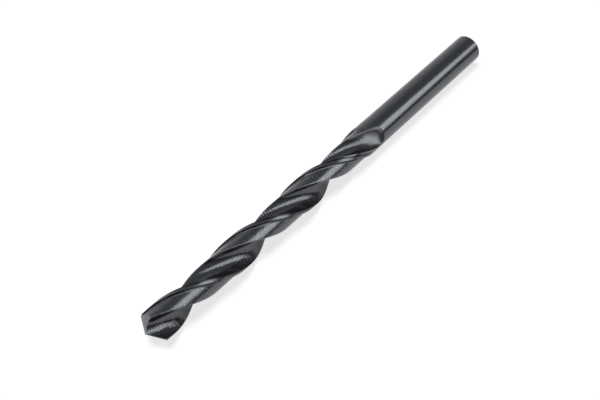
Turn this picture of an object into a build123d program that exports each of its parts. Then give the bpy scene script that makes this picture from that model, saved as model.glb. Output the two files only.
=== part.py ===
from build123d import *
import os
from math import asin, cos, degrees, radians, sin, sqrt, tan

# Jobber-length twist drill, right-hand, 118 degree point, in millimetres.
# It lies along X with its point towards -X and its shank towards +X.
# Its margins rest on Z = 0, and the origin is under its middle.

os.makedirs("parts", exist_ok=True)

# Bar and shank
diameter = 7.0             # across the margins at the point
shank_diameter = 6.96      # a little thinner, so that the shank doesn't bind in the hole
shoulder_gap = 1.0         # from the flutes' end to where the bar starts to thin
shoulder_length = 1.5      # over which it does
overall_length = 109.0
shank_chamfer = 0.35

# Flutes
flute_length = 69.5        # point to the end of the run-out
lead = 42.1                # length of one full turn, about 28 degrees of helix
lip_angle = 166.6          # where the first leading edge starts at the point, from +Y to +Z
flute_opening = 88.5       # degrees between a flute's two sides, just outside the bar
web = 1.1                  # thickness of the core at the point
web_growth = 0.003         # how much the flute gets shallower per millimetre
run_out_length = 20.0      # last part of the flute, where it gets shallower faster
run_out_rise = 1.26        # how far it has risen by the end of that part
run_out_radius = 3.0       # arc on which the flutes and lands leave the bar
run_out_past = 0.4         # how far the cutters go on past the end, to come clear of the bar
run_out_side = 114.0       # degrees from the leading edge towards which the flute rises

# Lands
margin_width = 1.05        # narrow strip that keeps the full diameter
margin_slope = 0.35        # width of the slope down from it
body_clearance = 0.45      # how far the land behind it lies lower
land_stop = 3.0            # the lowered land ends this far before the flute

# Point
point_angle = 118.0
lip_relief = 10.0          # how fast the flank falls away behind the lip
grind_angle = 35.0         # half angle of the cone that the flank is ground on
grind_reach = 1.15         # cone tip to the drill's axis, in diameters

radius = diameter / 2
core = web / 2
tip_x = -overall_length / 2
turn_rate = 360 / lead
lip_slope = radians(point_angle / 2)
drill_axis = Axis((tip_x, 0, radius), (1, 0, 0))


def section_at(x):
    """Plane across the drill at x from the point, turned with the helix."""
    turn = radians(lip_angle + turn_rate * x)
    return Plane(
        origin=(tip_x + x, 0, radius),
        x_dir=(0, cos(turn), sin(turn)),
        z_dir=(1, 0, 0),
    )


def polar(r, degrees_round):
    """Point of a section at radius r and an angle from the leading edge."""
    return Vector(r * cos(radians(degrees_round)), r * sin(radians(degrees_round)))


def rake_point(r):
    """Point of the flute's cutting face that makes the ground lip a straight line."""
    lip_length = sqrt(radius**2 - core**2) - sqrt(r**2 - core**2)
    turn = asin(core / radius) - asin(core / r)
    turn += radians(turn_rate) * lip_length / tan(lip_slope)
    return Vector(r * cos(turn), r * sin(turn))


def lift(x, end, depth):
    """How far a cut of this depth has risen at x, on an arc that leaves the bar at end."""
    past = min(max(0.0, x - (end - run_out(depth))), run_out_radius)
    return run_out_radius - sqrt(run_out_radius**2 - past**2)


def run_out(depth):
    """Length of the arc on which a cut of this depth rises out of the bar."""
    return sqrt(run_out_radius**2 - (run_out_radius - depth) ** 2)


def stations(end, depth):
    """Places along the drill, from ahead of the point to past end or where the arc stands upright."""
    first = -0.6 * diameter
    rise_start = end - run_out(depth)
    last = min(end + run_out_past, rise_start + run_out_radius)
    even = [first + (rise_start - first) * step / 34 for step in range(34)]
    return even + [rise_start + (last - rise_start) * step / 8 for step in range(9)]


# Flute cutter: one section, turned along the helix and lifted out at the shank
# Its face runs into one arc for the bottom and the heel, set as deep as the core lets it
face_points = [rake_point(radius * share) for share in (1.25, 1.1, 1.0, 0.82, 0.64, 0.52, 0.42)]
heel_point = polar(1.2 * radius, -flute_opening)
crown_point = polar(1.6 * radius, -flute_opening / 2)
middle = polar(1, -flute_opening / 2)
outward = polar(1, -run_out_side)
face = Spline(*face_points)
bottom = TangentArc(face @ 1, heel_point, tangent=face % 1)
sink = bottom.arc_center.length - bottom.radius - core
flute_depth = radius - core - web_growth * flute_length - run_out_rise

with BuildPart() as flute_cutter:
    for x in stations(flute_length, flute_depth):
        past = max(0.0, x - flute_length + run_out_length)
        rise = run_out_rise * (past / run_out_length) ** 2 + lift(x, flute_length, flute_depth)
        shift = middle * (web_growth * max(0.0, x) - sink) + outward * rise
        with BuildSketch(section_at(x)):
            with BuildLine():
                rake = Spline(*[point + shift for point in face_points])
                heel = TangentArc(rake @ 1, heel_point + shift, tangent=rake % 1)
                ThreePointArc(heel @ 1, crown_point + shift, rake @ 0)
            make_face()
    loft()

# Land cutter: lowers each land behind its margin
margin_round = degrees(margin_width / radius)
slope_round = degrees((margin_width + margin_slope) / radius)
land_round = 180 - flute_opening + 16
land_middle = (slope_round + land_round) / 2
land_end = flute_length - land_stop

with BuildPart() as land_cutter:
    for x in stations(land_end, body_clearance):
        floor = radius - body_clearance + lift(x, land_end, body_clearance)
        rim = floor + body_clearance
        foot = polar(floor, slope_round)
        with BuildSketch(section_at(x)):
            with BuildLine():
                slope = Line(polar(rim, margin_round) * 3 - foot * 2, foot)
                bed = ThreePointArc(foot, polar(floor, land_middle), polar(floor, land_round))
                side = Line(bed @ 1, polar(1.4 * radius, land_round))
                ThreePointArc(side @ 1, polar(1.6 * radius, land_middle), slope @ 0)
            make_face()
    loft()

# Flank cutter: what a cone leaves outside it, with the lip lying along the cone's side
lip_reach = sqrt(radius**2 - core**2)
along = Vector(1, 0, 0)
lip_lead = sink * sin(radians(flute_opening / 2)) / radius
lip_turn = radians(lip_angle + turn_rate * lip_reach / tan(lip_slope)) + asin(core / radius) + lip_lead
across = Vector(0, cos(lip_turn), sin(lip_turn))
behind = Vector(0, -sin(lip_turn), cos(lip_turn))
lip_way = along * cos(lip_slope) + across * sin(lip_slope)
inward = lip_way.cross(behind + along * tan(radians(lip_relief))).normalized()
cone_way = lip_way * cos(radians(grind_angle)) + inward * sin(radians(grind_angle))
cone_height = 6 * diameter

# The two cones meet on the axis in the chisel edge, a little behind where the lips would start
from_cone = lip_way * (grind_reach * diameter) + behind * core
spread = cos(radians(grind_angle)) ** 2
square = cone_way.X**2 - spread
half = cone_way.X * from_cone.dot(cone_way) - spread * from_cone.X
offset = from_cone.dot(cone_way) ** 2 - spread * from_cone.dot(from_cone)
chisel_gap = -offset / (half + sqrt(half**2 - square * offset))
cone_tip = Vector(tip_x - chisel_gap, 0, radius) - from_cone

with BuildPart() as flank_cutter:
    with Locations(Plane(origin=(tip_x, 0, radius), x_dir=across, z_dir=along)):
        with Locations((-web, 0, -diameter)):
            Box(2 * diameter, 3 * diameter, 1.8 * diameter, align=(Align.MIN, Align.CENTER, Align.MIN))
    with Locations(Plane(origin=cone_tip, z_dir=cone_way)):
        Cone(
            0,
            cone_height * tan(radians(grind_angle)),
            cone_height,
            align=(Align.CENTER, Align.CENTER, Align.MIN),
            mode=Mode.SUBTRACT,
        )

# The drill: a turned bar, fluted, cleared and pointed
shank_top = radius + shank_diameter / 2
shoulder_x = tip_x + flute_length + shoulder_gap

with BuildPart() as twist_drill:
    with BuildSketch(Plane.XZ):
        with BuildLine():
            Polyline(
                (tip_x - 1, radius),
                (tip_x - 1, 2 * radius),
                (shoulder_x, 2 * radius),
                (shoulder_x + shoulder_length, shank_top),
                (-tip_x - shank_chamfer, shank_top),
                (-tip_x, shank_top - shank_chamfer),
                (-tip_x, radius),
                close=True,
            )
        make_face()
    revolve(axis=drill_axis)
    for half_turn in (0, 180):
        add(flute_cutter.part.rotate(drill_axis, half_turn), mode=Mode.SUBTRACT)
        add(land_cutter.part.rotate(drill_axis, half_turn), mode=Mode.SUBTRACT)
        add(flank_cutter.part.rotate(drill_axis, half_turn), mode=Mode.SUBTRACT)

twist_drill.part.label = "twist_drill"
export_step(twist_drill.part, "parts/twist_drill.step")
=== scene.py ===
import math

import bpy
from mathutils import Matrix, Vector


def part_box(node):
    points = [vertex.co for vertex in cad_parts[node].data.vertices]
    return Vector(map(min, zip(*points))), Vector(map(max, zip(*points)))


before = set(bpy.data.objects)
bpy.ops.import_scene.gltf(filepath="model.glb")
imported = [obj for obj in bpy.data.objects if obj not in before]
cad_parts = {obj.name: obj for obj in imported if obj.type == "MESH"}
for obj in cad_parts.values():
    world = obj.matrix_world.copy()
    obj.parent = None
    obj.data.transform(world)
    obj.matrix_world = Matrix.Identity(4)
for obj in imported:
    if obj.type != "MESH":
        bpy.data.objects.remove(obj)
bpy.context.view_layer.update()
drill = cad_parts["twist_drill"]

# The drill, in metres and radians. It lies along X, with its point towards -X.
point_corner, shank_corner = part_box("twist_drill")
tip_x = point_corner.x
radius = 0.5 * shank_corner.z
land_radius = 0.00305
flute_length = 0.0695
lip_angle = math.radians(166.6)
turn_rate = math.tau / 0.0421

# The camera, as it stood over the drill, with its angles in degrees and its lens in millimetres
view_azimuth = -49.24
view_elevation = 50.33
view_distance = 0.1781
view_target = Vector((-0.01065, -0.00046, radius))
view_lens = 50.11
view_sensor = 36.0
view_nearest = 0.005
view_farthest = 20.0

# The paper and the room. A wall fades in and ends above between two values of a direction's Y and Z parts.
white = (1.0, 1.0, 1.0, 1.0)
paper_colour = (0.8, 0.8, 0.8, 1.0)
paper_glow = 0.75
paper_reach = 3.0
room_colour = (0.3, 0.315, 0.33, 1.0)
back_colour = (0.85, 0.85, 0.85, 1.0)
back_begins = (0.0, 0.8)
back_top = (0.2, 1.0)
front_colour = (0.12, 0.125, 0.13, 1.0)
front_begins = (0.3, 0.7)
front_top = (0.2, 0.4)

# The lamps
softbox_place = Vector((0.161, -0.55, 1.038))
softbox_facing = Vector((0.727, -0.452, 0.517))
softbox_along = Vector((-0.539, 0.091, 0.838))
softbox_length = 1.72
softbox_width = 0.58
softbox_watts = 8.8
top_light_azimuth = 110.0
top_light_elevation = 79.0
top_light_along = Vector((1.0, 0.0, 0.0))
top_light_side = 0.5
top_light_watts = 4.1

# All of the steel. A level is how much a finish reflects, and a depth is that of its marks.
steel_tint = (0.968, 1.0, 1.085)
edge_round = 0.00008

# Ground steel: the margins reach this far behind a leading edge, and stop this far before the flutes do
ground_level = 0.109
ground_roughness = 0.2
ground_depth = 0.0000012
margin_behind = 0.34
margin_stop = 0.0006
black_edge = (0.00028, 0.0005)
pit_limits = (0.24, 0.3)

# Lands, with the angle behind a leading edge at which the heel and its painted highlight begin
land_level = 0.107
land_roughness = 0.25
land_depth = 0.0000025
land_edge_round = 0.0004
land_heel_highlight = (1.3, 1.37)
speck_limits = (0.25, 0.3)

# Flutes: bottom, wall and heel by distance from the axis, and the heel's side by angle behind a leading
# edge. The bottom, the heel wall, the heel edge and the hollow at the end get painted highlights.
flute_level = 0.085
flute_roughness = 0.15
flute_depth = 0.000034
flute_edge_round = 0.00012
flute_bottom = (0.0009, 0.0016)
flute_wall = (0.0013, 0.0019)
flute_heel = (0.0026, 0.0029)
heel_side_begins = (0.7, 1.0)
heel_side_ends = (1.6, 1.9)
ripple_pitch = 0.00055

# The hollow that the cutter left at the end of each flute, from the point and out to its rim
bowl_begins = (0.0635, 0.067)
bowl_dulled = (0.062, 0.066)
bowl_rim = (0.0021, 0.0034)
bowl_angle = math.radians(128)
bowl_evenness = 0.6

# Steps behind the margins
step_level = 0.03
step_roughness = 0.3
step_depth = 0.000002
step_foot = (land_radius + 0.00005, land_radius + 0.00012)

# Point
point_level = 0.178
point_roughness = 0.3
point_depth = 0.000002


class Shade:
    """A socket of a material. Arithmetic on it adds Math nodes, and node() adds any other kind."""

    def __init__(self, tree, socket=None):
        self.tree = tree
        self.socket = socket

    def node(self, kind, settings, sockets, out=0):
        made = self.tree.nodes.new(kind)
        for name, value in settings.items():
            setattr(made, name, value)
        for name, value in sockets.items():
            if isinstance(value, Shade):
                self.tree.links.new(value.socket, made.inputs[name])
            else:
                made.inputs[name].default_value = value
        return Shade(self.tree, made.outputs[out] if made.outputs else None)

    def maths(self, operation, *values):
        return self.node("ShaderNodeMath", {"operation": operation}, dict(enumerate(values)))

    def __add__(self, other):
        return self.maths("ADD", self, other)

    def __sub__(self, other):
        return self.maths("SUBTRACT", self, other)

    def __rsub__(self, other):
        return self.maths("SUBTRACT", other, self)

    def __mul__(self, other):
        return self.maths("MULTIPLY", self, other)

    def __truediv__(self, other):
        return self.maths("DIVIDE", self, other)

    __radd__ = __add__
    __rmul__ = __mul__


def new_material(name):
    """An empty material and the Shade that its nodes start from."""
    material = bpy.data.materials.new(name)
    material.use_nodes = True
    material.node_tree.nodes.clear()
    return material, Shade(material.node_tree)


def parts_of(shade, coordinates, axes):
    """These axes of the place, or of the direction in the world, that is being shaded."""
    place = shade.node("ShaderNodeTexCoord", {}, {}, coordinates)
    return [shade.node("ShaderNodeSeparateXYZ", {}, {"Vector": place}, axis) for axis in axes]


def drill_place(shade):
    """Distance from the point, distance from the axis, and angle behind the nearer leading edge."""
    x, y, z = parts_of(shade, "Object", "XYZ")
    from_tip = x - tip_x
    height = z - radius
    out = shade.maths("SQRT", y * y + height * height)
    turn = shade.maths("ARCTAN2", height, y) - from_tip * turn_rate - lip_angle
    return from_tip, out, shade.maths("FLOORED_MODULO", turn, math.pi)


def grain(shade, one, two, three=0.0, detail=2.0):
    """Noise about zero. Each value has been divided by the length over which the noise changes that way."""
    where = shade.node("ShaderNodeCombineXYZ", {}, {"X": one, "Y": two, "Z": three})
    noise = shade.node("ShaderNodeTexNoise", {}, {"Vector": where, "Scale": 1.0, "Detail": detail})
    return noise - 0.5


def between(shade, value, low, high):
    """0 up to low, 1 from high on, and smooth in between."""
    steps = {"interpolation_type": "SMOOTHSTEP"}
    return shade.node("ShaderNodeMapRange", steps, {"Value": value, "From Min": low, "From Max": high})


def mixed(shade, kind, share, first, second):
    """Two colours or two vectors, of this kind, mixed: all first at a share of 0, all second at 1."""
    sockets = {"Factor": share, "A": first, "B": second}
    return shade.node("ShaderNodeMix", {"data_type": kind}, sockets, "Result")


def rounded(shade, edge):
    """Normal of the drill with its edges rounded to this radius."""
    return shade.node("ShaderNodeBevel", {"samples": 6}, {"Radius": edge})


def steel(shade, level, roughness, height, depth, smooth, grazing, metal=1.0):
    """Dark steel with marks on its smooth normal, and grazing for its shine at low angles."""
    red, green, blue = [level * tint for tint in steel_tint]
    colour = shade.node("ShaderNodeCombineColor", {}, {"Red": red, "Green": green, "Blue": blue})
    normal = shade.node("ShaderNodeBump", {}, {"Height": height, "Distance": depth, "Normal": smooth})
    surface = shade.node(
        "ShaderNodeBsdfPrincipled",
        {},
        {
            "Base Color": colour,
            "Metallic": metal,
            "Roughness": roughness,
            "Specular Tint": (grazing, grazing, grazing, 1.0),
            "Normal": normal,
        },
    )
    shade.node("ShaderNodeOutputMaterial", {}, {"Surface": surface})


def ground_steel():
    """Shank and margins: ground round the axis, with a black line along each leading edge that is partly
    dark oxide and partly a painted dark reflection of the rounded edge.
    """
    material, shade = new_material("black_oxide_ground")
    from_tip, out, behind = drill_place(shade)
    lines = grain(shade, from_tip / 0.00012, behind * 4.0)
    patches = grain(shade, from_tip / 0.0015, behind * 3.0, out / 0.001)
    pits = between(shade, grain(shade, from_tip / 0.00016, behind * 22.0, 0.0, 1.0), *pit_limits)
    fluted = shade.maths("LESS_THAN", from_tip, flute_length - margin_stop)
    margin = fluted * shade.maths("LESS_THAN", behind, margin_behind)
    # Black line along the leading edge: partly dark oxide, partly a painted dark reflection of the rounded
    # edge
    edge = (1.0 - between(shade, behind * radius, *black_edge)) * fluted
    rubbed = grain(shade, from_tip / 0.003, behind * 30.0) * margin
    level = (patches * 0.25 + lines * 0.12 + 1.0) * (1.0 - edge * 0.75) * ground_level
    roughness = patches * 0.06 + lines * 0.05 + margin * 0.08 + ground_roughness
    height = lines - pits * 2.0 + rubbed * 6.0
    steel(shade, level, roughness, height, ground_depth, rounded(shade, edge_round), grazing=0.88)
    return material


def land_steel():
    """Lands behind the margins: softer than the shank, with a few bright specks and a painted highlight on
    the heel.
    """
    material, shade = new_material("black_oxide_land")
    from_tip, _, behind = drill_place(shade)
    lines = grain(shade, from_tip / 0.0025, behind * 40.0)
    patches = grain(shade, from_tip / 0.0012, behind * 4.0, 3.0)
    specks = between(shade, grain(shade, from_tip / 0.0003, behind * 11.0, 7.0, 0.0), *speck_limits)
    heel = between(shade, behind, *land_heel_highlight)
    # The heel gets a painted highlight in its colour
    level = (patches * 0.3 + lines * 0.2 + heel * 0.5 + 1.0) * land_level + specks * 0.4
    roughness = patches * 0.08 + lines * 0.05 + land_roughness
    height = lines + specks * 3.0
    steel(shade, level, roughness, height, land_depth, rounded(shade, land_edge_round), grazing=1.0)
    return material


def bowl_normal(shade, bowl):
    """Normal of a flute, evened out where bowl is 1 towards the way that the hollow opens."""
    y, z = parts_of(shade, "Object", "YZ")
    across = math.cos(bowl_angle)
    up = math.sin(bowl_angle)
    side = shade.maths("SIGN", y * across + (z - radius) * up)
    open_way = shade.node("ShaderNodeCombineXYZ", {}, {"Y": side * across, "Z": side * up})
    return mixed(shade, "VECTOR", bowl * bowl_evenness, rounded(shade, flute_edge_round), open_way)


def flute_steel():
    """Flutes: wheel marks and chatter across them, with painted highlights on the bottom, the heel wall, the
    heel edge and in the hollow at the end.
    """
    material, shade = new_material("black_oxide_flute")
    from_tip, out, behind = drill_place(shade)
    marks = grain(shade, from_tip / 0.00034, behind * 1.2, out / 0.0016, 1.0)
    swing = grain(shade, from_tip / 0.002, behind * 2.0, out / 0.001) * 8.0
    ripples = shade.maths("SINE", from_tip * (math.tau / ripple_pitch) + swing)
    chatter = ripples * (grain(shade, from_tip / 0.005, behind, 9.0) * 1.6 + 0.5)
    streaks = grain(shade, from_tip / 0.004, behind * 14.0, out / 0.0002)
    heel_side = between(shade, behind, *heel_side_begins) * (1.0 - between(shade, behind, *heel_side_ends))
    bottom = 1.0 - between(shade, out, *flute_bottom)
    wall = between(shade, out, *flute_wall) * heel_side
    heel = between(shade, out, *flute_heel) * heel_side
    bowl = between(shade, from_tip, *bowl_begins) * (1.0 - between(shade, out, *bowl_rim))
    # Painted highlights: lighter colour on the bottom, the heel wall, the heel edge and in the hollow at the
    # end
    painted_light = bottom * 0.25 + wall * 0.25 + heel * 1.6 + bowl * 0.6 + 1.0
    level = (streaks * 0.5 + 1.0) * painted_light * flute_level
    roughness = streaks * 0.05 + between(shade, from_tip, *bowl_dulled) * 0.17 + flute_roughness
    height = (marks * 0.6 + chatter * 0.36) * (1.0 - bowl * 0.8)
    steel(shade, level, roughness, height, flute_depth, bowl_normal(shade, bowl), grazing=0.6, metal=0.75)
    return material


def step_steel():
    """Step behind each margin: very dark, with a painted highlight along its foot."""
    material, shade = new_material("black_oxide_step")
    from_tip, out, behind = drill_place(shade)
    streaks = grain(shade, from_tip / 0.003, behind * 30.0, out / 0.0001)
    foot = 1.0 - between(shade, out, *step_foot)
    # A painted highlight along the foot of the step
    level = (streaks * 0.4 + 1.0) * (foot * 9.0 + 1.0) * step_level
    roughness = streaks * 0.1 + step_roughness
    steel(shade, level, roughness, streaks, step_depth, rounded(shade, edge_round), grazing=0.3)
    return material


def point_steel():
    """Point: lighter than the rest, with fine arcs of grinding."""
    material, shade = new_material("black_oxide_point")
    from_tip, out, behind = drill_place(shade)
    arcs = grain(shade, from_tip / 0.00006, out / 0.00008, behind * 1.5)
    patches = grain(shade, from_tip / 0.0008, out / 0.0008, behind * 2.0)
    level = (arcs * 0.5 + patches * 0.5 + 1.0) * point_level
    roughness = patches * 0.08 + point_roughness
    steel(shade, level, roughness, arcs, point_depth, rounded(shade, edge_round), grazing=0.8)
    return material


def patches_of(mesh):
    """Lists of the polygons that share vertices: one list for each smooth face of the drill."""
    parent = list(range(len(mesh.vertices)))

    def root(vertex):
        while parent[vertex] != vertex:
            parent[vertex] = parent[parent[vertex]]
            vertex = parent[vertex]
        return vertex

    for polygon in mesh.polygons:
        first = root(polygon.vertices[0])
        for vertex in polygon.vertices[1:]:
            parent[root(vertex)] = first
    groups = {}
    for polygon in mesh.polygons:
        groups.setdefault(root(polygon.vertices[0]), []).append(polygon)
    return groups.values()


def finish_of(patch):
    """Name of the finish for a face of the drill, by how far it faces outward and towards the point."""
    area = sum(polygon.area for polygon in patch)
    outward = 0.0
    forward = 0.0
    out = 0.0
    for polygon in patch:
        arm = Vector((0.0, polygon.center.y, polygon.center.z - radius))
        out += arm.length * polygon.area / area
        outward += polygon.normal.dot(arm.normalized()) * polygon.area / area
        forward -= polygon.normal.x * polygon.area / area
    if forward > 0.6:
        return "point"
    if outward < 0.45 and forward > -0.5:
        return "flute"
    if outward < 0.65 and forward > 0:
        return "step"
    if outward > 0.9 and out < 0.5 * (radius + land_radius):
        return "land"
    return "ground"


def seen_rays(shade):
    """1 for the rays that show a surface: from the camera, or by way of metal or glass."""
    kinds = ("Is Camera Ray", "Is Glossy Ray", "Is Transmission Ray")
    camera, mirrored, through = [shade.node("ShaderNodeLightPath", {}, {}, kind) for kind in kinds]
    return shade.maths("MAXIMUM", shade.maths("MAXIMUM", camera, mirrored), through)


def white_paper():
    """Floor that shows white to the camera and in the metal, and keeps the drill's shadow."""
    material, shade = new_material("white_paper")
    lit = shade.node("ShaderNodeBsdfDiffuse", {}, {"Color": paper_colour})
    glow = shade.node("ShaderNodeEmission", {}, {"Strength": seen_rays(shade) * paper_glow})
    both = shade.node("ShaderNodeAddShader", {}, {0: lit, 1: glow})
    shade.node("ShaderNodeOutputMaterial", {}, {"Surface": both})
    return material


def toward(azimuth, elevation):
    """Direction at these degrees, from +X towards +Y and above the floor."""
    a = math.radians(azimuth)
    e = math.radians(elevation)
    return Vector((math.cos(e) * math.cos(a), math.cos(e) * math.sin(a), math.sin(e)))


def put(name, data, place, right, up, back):
    """Object of this data in the scene, with its own axes along right, up and back."""
    made = bpy.data.objects.new(name, data)
    turn = Matrix((right, up, back)).transposed().to_4x4()
    made.matrix_world = Matrix.Translation(place) @ turn
    bpy.context.scene.collection.objects.link(made)
    return made


def add_camera():
    """Camera that looks at view_target and is level."""
    back = toward(view_azimuth - 90.0, view_elevation)
    right = toward(view_azimuth, 0.0)
    data = bpy.data.cameras.new("camera")
    data.sensor_width = view_sensor
    data.lens = view_lens
    data.clip_start = view_nearest
    data.clip_end = view_farthest
    place = view_target + back * view_distance
    bpy.context.scene.camera = put("camera", data, place, right, back.cross(right), back)


def add_lamp(name, place, facing, along, length, width, watts):
    """Soft lamp with square corners. It shines against facing, and its length lies along."""
    data = bpy.data.lights.new(name, "AREA")
    data.shape = "RECTANGLE"
    data.size = length
    data.size_y = width
    data.energy = watts
    back = facing.normalized()
    across = back.cross(along).normalized()
    lamp = put(name, data, place, across.cross(back), across, back)
    lamp.visible_camera = False
    return lamp


def add_lamps():
    """A softbox that shows only in the metal, and a lamp overhead that doesn't, for the soft shadow."""
    softbox = add_lamp(
        "softbox", softbox_place, softbox_facing, softbox_along, softbox_length, softbox_width, softbox_watts
    )
    softbox.visible_diffuse = False
    overhead = toward(top_light_azimuth, top_light_elevation)
    top_light = add_lamp(
        "top_light", overhead, overhead, top_light_along, top_light_side, top_light_side, top_light_watts
    )
    top_light.visible_glossy = False


def add_floor():
    """Sheet of white paper under the drill."""
    mesh = bpy.data.meshes.new("floor")
    half = paper_reach
    corners = [(-half, -half, 0), (half, -half, 0), (half, half, 0), (-half, half, 0)]
    mesh.from_pydata(corners, [], [(0, 1, 2, 3)])
    mesh.materials.append(white_paper())
    floor = bpy.data.objects.new("floor", mesh)
    bpy.context.scene.collection.objects.link(floor)


def add_world():
    """White to the camera. In the metal it is a dim room with a paler back wall and a dark front."""
    world = bpy.data.worlds.new("studio")
    bpy.context.scene.world = world
    world.use_nodes = True
    world.node_tree.nodes.clear()
    shade = Shade(world.node_tree)
    to_back, above = parts_of(shade, "Generated", "YZ")
    back = between(shade, to_back, *back_begins) * (1.0 - between(shade, above, *back_top))
    front = between(shade, to_back * -1.0, *front_begins) * (1.0 - between(shade, above, *front_top))
    walls = mixed(shade, "RGBA", back, room_colour, back_colour)
    room = mixed(shade, "RGBA", front, walls, front_colour)
    camera = shade.node("ShaderNodeLightPath", {}, {}, "Is Camera Ray")
    sky = mixed(shade, "RGBA", camera, room, white)
    light = shade.node("ShaderNodeBackground", {}, {"Color": sky, "Strength": seen_rays(shade)})
    shade.node("ShaderNodeOutputWorld", {}, {"Surface": light})


add_camera()
add_floor()
add_world()
add_lamps()

finishes = {
    "ground": ground_steel(),
    "flute": flute_steel(),
    "step": step_steel(),
    "point": point_steel(),
    "land": land_steel(),
}
drill.data.materials.clear()
for material in finishes.values():
    drill.data.materials.append(material)
for patch in patches_of(drill.data):
    number = list(finishes).index(finish_of(patch))
    for polygon in patch:
        polygon.material_index = number

bpy.context.scene.view_settings.view_transform = "Standard"
